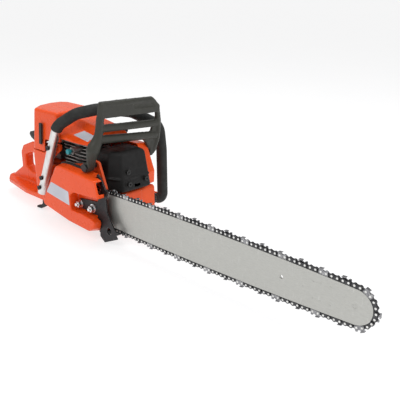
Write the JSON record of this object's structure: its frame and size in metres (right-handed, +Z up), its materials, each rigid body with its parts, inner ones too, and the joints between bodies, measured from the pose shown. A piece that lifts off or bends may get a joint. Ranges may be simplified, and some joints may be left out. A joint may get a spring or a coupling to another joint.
{
  "type": "petrol chainsaw",
  "caption": "Petrol chainsaw with a long guide bar and full chain, wrap front handle, brake guard and rear trigger handle.",
  "frame": {"origin": "on the resting plane, straight below the crankshaft axis, on the mid plane of the cylinder", "axes": "+X forward along the guide bar, +Y to the operator's left, +Z up"},
  "size_m": [1.0601, 0.2543, 0.2966],
  "materials": {
    "orange_plastic": "glossy moulded shell",
    "orange_casting": "satin painted magnesium casting",
    "guard_plastic": "matte moulded plastic",
    "grip_rubber": "matte rubber",
    "bare_tube": "satin bare tube",
    "black_plastic": "matte black plastic",
    "teal_plastic": "matte plastic button",
    "label_film": "blank satin film",
    "muffler_steel": "heat resistant black coating",
    "spike_steel": "dark phosphated steel",
    "bar_steel": "satin ground steel",
    "chain_steel": "blued chain steel",
    "cutter_steel": "hard chromed cutters",
    "rivet_steel": "bright rivets",
    "bright_steel": "bright plated",
    "machined_steel": "machined steel",
    "black_screws": "black oxide",
    "cast_aluminium": "as cast",
    "filter_felt": "pleated felt",
    "plug_ceramic": "glazed insulator",
    "coil_plastic": "potted coil",
    "rope_cord": "braided cord"
  },
  "bodies": {
    "saw": {"air_filter": "filter_felt", "av_springs": "machined_steel", "bar_nuts": "bright_steel", "bar_rivets": "bar_steel", "bar_studs": "bright_steel", "carburettor": "cast_aluminium", "chain_brake": "machined_steel", "chain_catcher": "black_plastic", "chain_cutters": "cutter_steel", "chain_drive_links": "chain_steel", "chain_rivets": "rivet_steel", "chain_tensioner": "machined_steel", "chain_tie_straps": "chain_steel", "clutch_cover": "orange_plastic", "cover_clips": "black_plastic", "cover_seal": "grip_rubber", "crankcase_left": "orange_casting", "crankcase_right": "orange_casting", "cylinder": "cast_aluminium", "cylinder_cover": "orange_plastic", "filter_cover": "orange_plastic", "front_handle": "bare_tube", "fuel_pickup": "black_plastic", "guard_pivots": "black_screws", "guide_bar": "bar_steel", "handle_grip": "grip_rubber", "ignition_coil": "coil_plastic", "inner_spike": "spike_steel", "intake_boot": "grip_rubber", "labels": "label_film", "main_bearings": "machined_steel", "muffler": "muffler_steel", "oil_pump": "cast_aluminium", "outer_spike": "spike_steel", "plug_cap": "black_plastic", "rear_foot": "grip_rubber", "recoil_spring": "machined_steel", "socket_screws": "black_screws", "spark_plug": "plug_ceramic", "starter_cover": "orange_plastic", "tank_handle": "orange_plastic"},
    "crank": {"crankshaft": "machined_steel", "clutch": "machined_steel", "clutch_bearing": "machined_steel", "flywheel": "cast_aluminium"},
    "drum": {"clutch_drum": "machined_steel"},
    "nose": {"nose_sprocket": "bar_steel"},
    "piston": {"piston": "cast_aluminium"},
    "rod": {"connecting_rod": "machined_steel"},
    "guard": {"hand_guard": "guard_plastic"},
    "trigger": {"throttle_trigger": "black_plastic"},
    "lock": {"throttle_lock": "black_plastic"},
    "choke": {"choke_knob": "black_plastic"},
    "stop": {"stop_switch": "black_plastic"},
    "fuel_cap": {"fuel_cap": "black_plastic"},
    "oil_cap": {"oil_cap": "black_plastic"},
    "decompression": {"decompression_button": "teal_plastic"},
    "starter_grip": {"starter_handle": "black_plastic", "starter_rope": "rope_cord"},
    "pulley": {"starter_pulley": "black_plastic"}
  },
  "joints": [
    {"name": "crank_spin", "type": "hinge", "parent": "saw", "child": "crank", "pos_m": [0, 0, 0.07], "axis": [0, 1, 0], "continuous": true},
    {"name": "drum_spin", "type": "hinge", "parent": "saw", "child": "drum", "pos_m": [0, -0.07, 0.07], "axis": [0, 1, 0], "continuous": true},
    {"name": "nose_sprocket_spin", "type": "hinge", "parent": "saw", "child": "nose", "pos_m": [0.706, -0.058, 0.07], "axis": [0, 1, 0], "continuous": true},
    {"name": "piston_slide", "type": "slide", "parent": "saw", "child": "piston", "axis": [0, 0, 1], "range_m": [-0.036, 0]},
    {"name": "rod_swing", "type": "hinge", "parent": "piston", "child": "rod", "pos_m": [0, 0, 0.158], "axis": [0, 1, 0], "range_deg": [-10, 10]},
    {"name": "hand_guard_brake", "type": "hinge", "parent": "saw", "child": "guard", "pos_m": [0.094, 0, 0.157], "axis": [0, 1, 0], "range_deg": [0, 14]},
    {"name": "throttle_trigger_squeeze", "type": "hinge", "parent": "saw", "child": "trigger", "pos_m": [-0.172, -0.01, 0.126], "axis": [0, 1, 0], "range_deg": [0, 12]},
    {"name": "throttle_lock_press", "type": "hinge", "parent": "saw", "child": "lock", "pos_m": [-0.164, -0.01, 0.146], "axis": [0, -1, 0], "range_deg": [0, 10]},
    {"name": "choke_pull", "type": "slide", "parent": "saw", "child": "choke", "axis": [-1, 0, 0], "range_m": [0, 0.012]},
    {"name": "stop_switch_slide", "type": "slide", "parent": "saw", "child": "stop", "axis": [0, 0, 1], "range_m": [-0.004, 0.004]},
    {"name": "fuel_cap_turn", "type": "hinge", "parent": "saw", "child": "fuel_cap", "pos_m": [-0.108, 0.07, 0.084], "axis": [0, 1, 0], "range_deg": [0, 90]},
    {"name": "oil_cap_turn", "type": "hinge", "parent": "saw", "child": "oil_cap", "pos_m": [0.115, 0.08, 0.052], "axis": [0, 1, 0], "range_deg": [0, 90]},
    {"name": "decompression_push", "type": "slide", "parent": "saw", "child": "decompression", "axis": [0, 1, 0], "range_m": [0, 0.003]},
    {"name": "starter_pull", "type": "slide", "parent": "saw", "child": "starter_grip", "axis": [0, 0, 1], "range_m": [0, 0.6]},
    {"name": "starter_pulley_spin", "type": "hinge", "parent": "saw", "child": "pulley", "pos_m": [0, 0.08, 0.07], "axis": [0, 1, 0], "range_deg": [-5, 1600]}
  ],
  "couplings": [
    {"joint": "nose_sprocket_spin", "follows": "drum_spin", "ratio": 0.63636},
    {"joint": "starter_pulley_spin", "follows": "starter_pull", "rad_per_m": 44.444}
  ]
}
